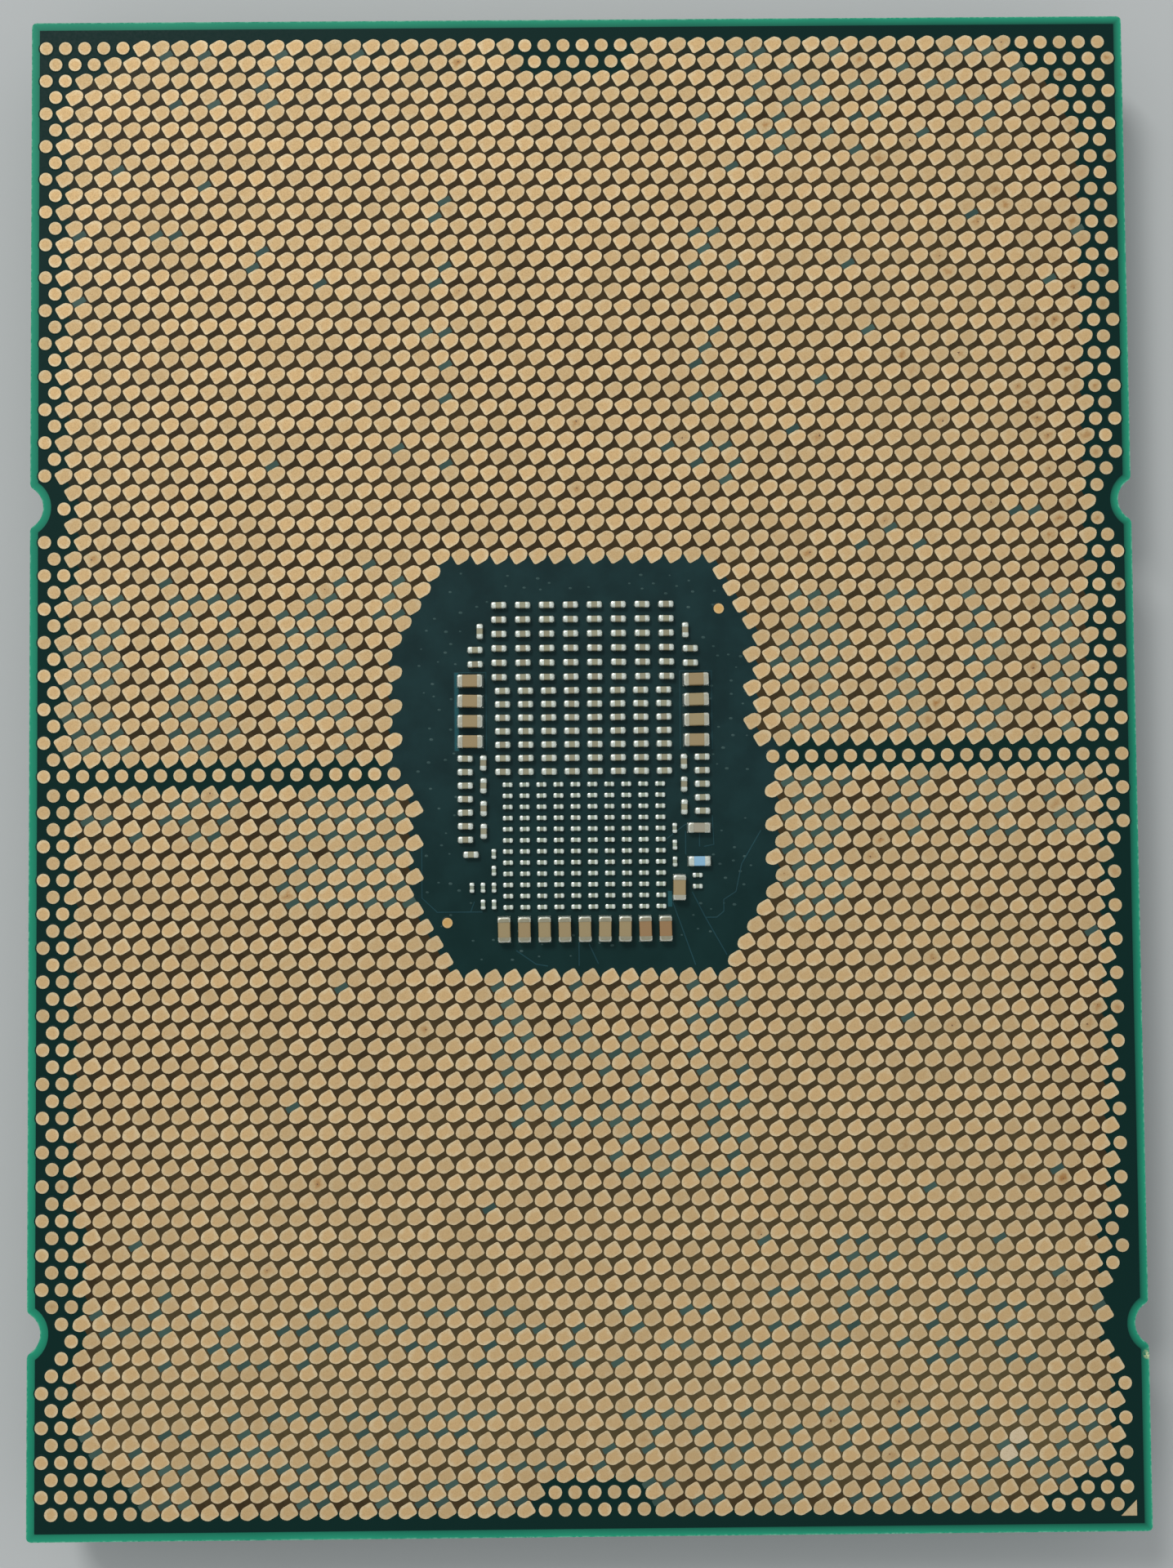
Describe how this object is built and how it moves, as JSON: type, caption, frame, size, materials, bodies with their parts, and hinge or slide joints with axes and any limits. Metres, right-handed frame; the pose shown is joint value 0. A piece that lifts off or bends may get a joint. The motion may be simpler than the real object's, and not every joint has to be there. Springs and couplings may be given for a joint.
{
  "type": "server processor",
  "caption": "Flat land grid processor: laminate board with fields of gold contact lands round a window of chip capacitors, over a stepped metal lid that passes heat to a cooler.",
  "frame": {"origin": "middle of the lid's outer face, on which the part lies", "axes": "+Z out of the land side, +Y along the long side with pin one at -Y, X across it"},
  "size_m": [0.0564, 0.0776, 0.0058],
  "materials": {
    "laminate": "satin solder mask over bare laminate",
    "solder_mask": "satin solder mask over copper",
    "nickel_plate": "satin nickel plating on copper",
    "sealant": "matt silicone",
    "silicon": "polished silicon",
    "indium_solder": "dull solder",
    "underfill_epoxy": "filled epoxy",
    "gold_plate": "matt gold plating",
    "ceramic": "fired ceramic",
    "tin_plate": "matt tin plating and solder",
    "blue_ceramic": "glazed ceramic"
  },
  "bodies": {
    "root": {"substrate": "laminate", "land_side_mask": "solder_mask", "heat_spreader": "nickel_plate", "lid_sealant": "sealant", "silicon_die": "silicon", "die_solder": "indium_solder", "underfill": "underfill_epoxy", "inner_capacitor_bodies": "ceramic", "inner_capacitor_ends": "tin_plate", "upper_left_outer_lands": "gold_plate", "upper_left_inner_lands": "gold_plate", "upper_right_outer_lands": "gold_plate", "upper_right_inner_lands": "gold_plate", "lower_left_outer_lands": "gold_plate", "lower_left_inner_lands": "gold_plate", "lower_right_outer_lands": "gold_plate", "lower_right_inner_lands": "gold_plate", "rim_lands": "gold_plate", "divider_lands": "gold_plate", "pin_one_marks": "gold_plate", "fiducials": "gold_plate", "upper_block_bodies": "ceramic", "upper_block_ends": "tin_plate", "middle_block_bodies": "ceramic", "middle_block_ends": "tin_plate", "lower_block_bodies": "ceramic", "lower_block_ends": "tin_plate", "side_bank_bodies": "ceramic", "side_bank_ends": "tin_plate", "end_bank_bodies": "ceramic", "end_bank_ends": "tin_plate", "flank_bodies": "ceramic", "flank_ends": "tin_plate", "scatter_bodies": "ceramic", "scatter_ends": "tin_plate", "single_bodies": "ceramic", "single_ends": "tin_plate", "blue_chip_body": "blue_ceramic", "blue_chip_ends": "tin_plate"}
  },
  "joints": []
}
